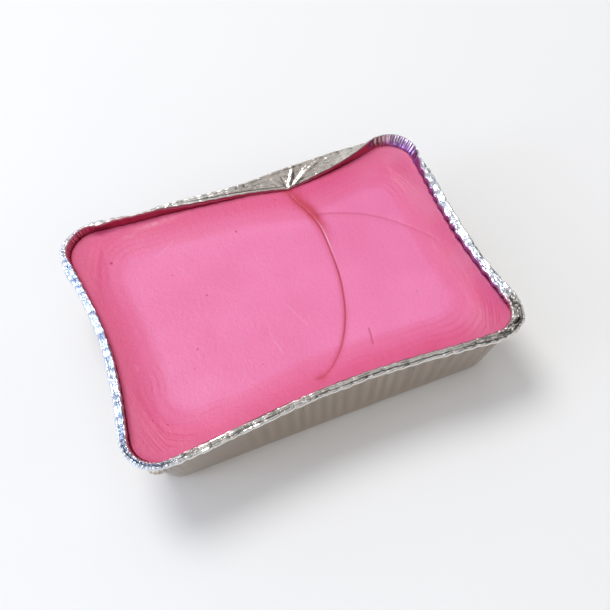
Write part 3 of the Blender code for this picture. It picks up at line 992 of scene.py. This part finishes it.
def inside_foil_material():
    """The inside, flange and bead, with painted reflections on the wall and flange and painted shade in the
    folds.
    """
    made, tree, shader, colour = foil_material("pressed_foil_inside", BRIGHT_FOIL, SOFT_FOIL)
    # Painted reflections: blue of the window on the left, grey along the back and front
    colour = add_mix(tree, add_attribute(tree, "cool"), colour, PAINTED_WINDOW_BLUE)
    colour = add_mix(tree, add_attribute(tree, "painted_grey"), colour, PAINTED_GREY_REFLECTION)
    # Painted reflection of the shaded wax, violet towards the right
    painted_reflection = add_mix(tree, add_attribute(tree, "violet"), PAINTED_WAX_REFLECTION, PAINTED_VIOLET_REFLECTION)
    colour = add_mix(tree, add_attribute(tree, "painted_reflection"), colour, painted_reflection)
    colour = add_mix(tree, add_attribute(tree, "dark"), colour, FOLD_SHADE)
    tree.links.new(colour, shader.inputs["Base Color"])
    return made


def outside_foil_material():
    """The outside, darker and warmer as a painted reflection, with the painted light and shade of its flutes.
    """
    made, tree, shader, colour = foil_material("pressed_foil", OUTER_FOIL, OUTER_FOIL_DARK)
    tone = add_ramp(tree, add_attribute(tree, "tone"), -1, 1, 0.0, 1.0)
    lit = add_mix(tree, tone, *FLUTE_LIGHT)
    colour = add_mix(tree, 1.0, colour, lit, "MULTIPLY")
    # Painted highlight on the edge of the ledge
    colour = add_mix(tree, add_attribute(tree, "ledge"), colour, LEDGE_HIGHLIGHT)
    tree.links.new(colour, shader.inputs["Base Color"])
    return made


def wax_material():
    """Pink wax, paler and pinker in the middle, with its marks, shrinkage rings, fine grain, painted shade
    and painted highlights.
    """
    made, tree, shader = new_material("cast_wax")
    place = tree.nodes.new("ShaderNodeTexCoord").outputs["Object"]
    broad = add_noise(tree, place, 14, 2)
    mottle = add_noise(tree, place, 90, 4)
    middle = add_mix(tree, add_ramp(tree, broad, 0.35, 0.65, 0, 1), *MIDDLE_WAX)
    margin = add_mix(tree, mottle, *MARGIN_WAX)
    # Lighter near the wall towards the right end
    margin = add_mix(tree, add_attribute(tree, "lighter_right"), margin, LIGHTER_RIGHT_WAX)
    colour = add_mix(tree, add_attribute(tree, "margin"), middle, margin)
    wave = add_math(tree, "MULTIPLY", add_attribute(tree, "contour"), 2 * math.pi / RING_PITCH)
    line = add_ramp(tree, add_math(tree, "COSINE", wave), 0.3, 1.0, 0, 1)
    line = add_math(tree, "MULTIPLY", line, add_attribute(tree, "rings"))
    # Painted shade along the ring lines
    ring_shade = add_math(tree, "MULTIPLY", line, 0.36)
    colour = add_mix(tree, ring_shade, colour, RING_SHADE_WAX)
    # Stains, with painted shade where the wax meets the foil; cracks and pinholes with painted shade; pale
    # marks with painted highlights
    colour = add_mix(tree, add_attribute(tree, "stain_and_shade"), colour, STAIN_AND_SHADE_WAX)
    colour = add_mix(tree, add_attribute(tree, "crack"), colour, CRACK_SHADE_WAX)
    colour = add_mix(tree, add_attribute(tree, "pale"), colour, PALE_AND_HIGHLIGHT_WAX)
    tree.links.new(colour, shader.inputs["Base Color"])
    tree.links.new(add_ramp(tree, mottle, 0.3, 0.7, 0.34, 0.46), shader.inputs["Roughness"])
    shader.inputs["IOR"].default_value = 1.44
    shader.inputs["Subsurface Weight"].default_value = 0.25
    shader.inputs["Subsurface Radius"].default_value = (1.0, 0.35, 0.45)
    shader.inputs["Subsurface Scale"].default_value = 0.004
    rings = add_bump(tree, add_math(tree, "SUBTRACT", 1.0, line), 0.00010, 0.7)
    grain = add_bump(tree, add_noise(tree, place, 1100, 3, 0.6), 0.00018, 0.8, rings)
    peel = add_bump(tree, add_noise(tree, place, 420, 3), 0.0004, 0.55, grain)
    tree.links.new(peel, shader.inputs["Normal"])
    return made


def floor_material():
    """Pale matt paper with a faint unevenness."""
    made, tree, shader = new_material("studio_floor")
    place = tree.nodes.new("ShaderNodeTexCoord").outputs["Object"]
    tone = add_mix(tree, add_noise(tree, place, 3), *FLOOR_PAPER)
    tree.links.new(tone, shader.inputs["Base Color"])
    shader.inputs["Roughness"].default_value = 0.9
    return made


# --- The object ----------------------------------------------------------------------------------------

foil = build_foil()
foil.data.materials.append(outside_foil_material())
foil.data.materials.append(inside_foil_material())
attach(foil, "tray")
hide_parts("foil_tray")

wax = build_wax()
wax.data.materials.append(wax_material())
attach(wax, "wax")
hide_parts("wax_block")


# --- Floor, light and camera ---------------------------------------------------------------------------

FLOOR_HALF = 2.5
FLOOR_GAP = 0.00005
floor_mesh = bpy.data.meshes.new("floor")
floor_corners = [
    (side_x * FLOOR_HALF, side_y * FLOOR_HALF, -FLOOR_GAP)
    for side_x, side_y in ((-1, -1), (1, -1), (1, 1), (-1, 1))
]
floor_mesh.from_pydata(floor_corners, [], [(0, 1, 2, 3)])
floor = bpy.data.objects.new("floor", floor_mesh)
bpy.context.scene.collection.objects.link(floor)
floor_mesh.materials.append(floor_material())


def area_light(name, place, size, power, colour):
    """A round lamp that faces the tray."""
    data = bpy.data.lights.new(name, "AREA")
    data.shape = "DISK"
    data.size = size
    data.energy = power
    data.color = colour
    light = bpy.data.objects.new(name, data)
    light.location = place
    light.rotation_euler = (Vector((0, 0, 0.02)) - Vector(place)).to_track_quat("-Z", "Y").to_euler()
    bpy.context.scene.collection.objects.link(light)


area_light("key", place=(-0.55, 1.35, 2.7), size=1.5, power=40.0, colour=(1.0, 0.99, 0.97))
area_light("window", place=(-1.0, 0.05, 0.45), size=0.4, power=2.6, colour=(0.70, 0.80, 1.0))

# A room of soft bright and dark patches, which give the foil something to mirror
DARK_ROOM = (0.10, 0.10, 0.10)
BRIGHT_ROOM = (1.12, 1.10, 1.08)
COOL_ROOM = (0.80, 0.90, 1.12)
HORIZON = (0.88, 0.88, 0.88)
ROOM_STRENGTH = 0.85
COOL_DIRECTION = (-0.47, 0.55, 0.69)

world = bpy.data.worlds.new("studio")
bpy.context.scene.world = world
world.use_nodes = True
room = world.node_tree
room_place = room.nodes.new("ShaderNodeTexCoord").outputs["Generated"]
room_noise = add_noise(room, room_place, 2.2, 1)
room_patches = add_ramp(room, room_noise, 0.42, 0.58, 0, 1)
room_colour = add_mix(room, room_patches, DARK_ROOM, BRIGHT_ROOM)


def share_toward(direction, low, high, most):
    """0 to most, as the direction looked in comes close to the given one."""
    toward = room.nodes.new("ShaderNodeVectorMath")
    toward.operation = "DOT_PRODUCT"
    toward.inputs[1].default_value = direction
    room.links.new(room_place, toward.inputs[0])
    return add_ramp(room, toward.outputs["Value"], low, high, 0, most)


# Plain and pale near the horizon, patches overhead, and a cool window behind at the left
overhead = share_toward((0, 0, 1), 0.16, 0.42, 1)
room_colour = add_mix(room, overhead, HORIZON, room_colour)
cool = share_toward(COOL_DIRECTION, 0.84, 0.97, 0.9)
room_colour = add_mix(room, cool, room_colour, COOL_ROOM)
room.links.new(room_colour, room.nodes["Background"].inputs["Color"])
room.nodes["Background"].inputs["Strength"].default_value = ROOM_STRENGTH

# The camera, fitted to the outlines of the rim and the base in the photograph
CAMERA_PLACE = Vector((-0.079306, -0.233062, 0.380512))
CAMERA_LOOK = Vector((0.20168, 0.52501, -0.82686))
CAMERA_RIGHT = Vector((0.92558, -0.37828, -0.01443))
SENSOR_WIDTH = 36
LENS = 47.21
camera_data = bpy.data.cameras.new("camera")
camera_data.sensor_width = SENSOR_WIDTH
camera_data.lens = LENS
camera = bpy.data.objects.new("camera", camera_data)
bpy.context.scene.collection.objects.link(camera)
camera_up = CAMERA_RIGHT.cross(CAMERA_LOOK)
camera_turn = Matrix((CAMERA_RIGHT, camera_up, -CAMERA_LOOK)).transposed().to_4x4()
camera.matrix_world = Matrix.Translation(CAMERA_PLACE) @ camera_turn
bpy.context.scene.camera = camera
bpy.context.scene.view_settings.view_transform = "Standard"
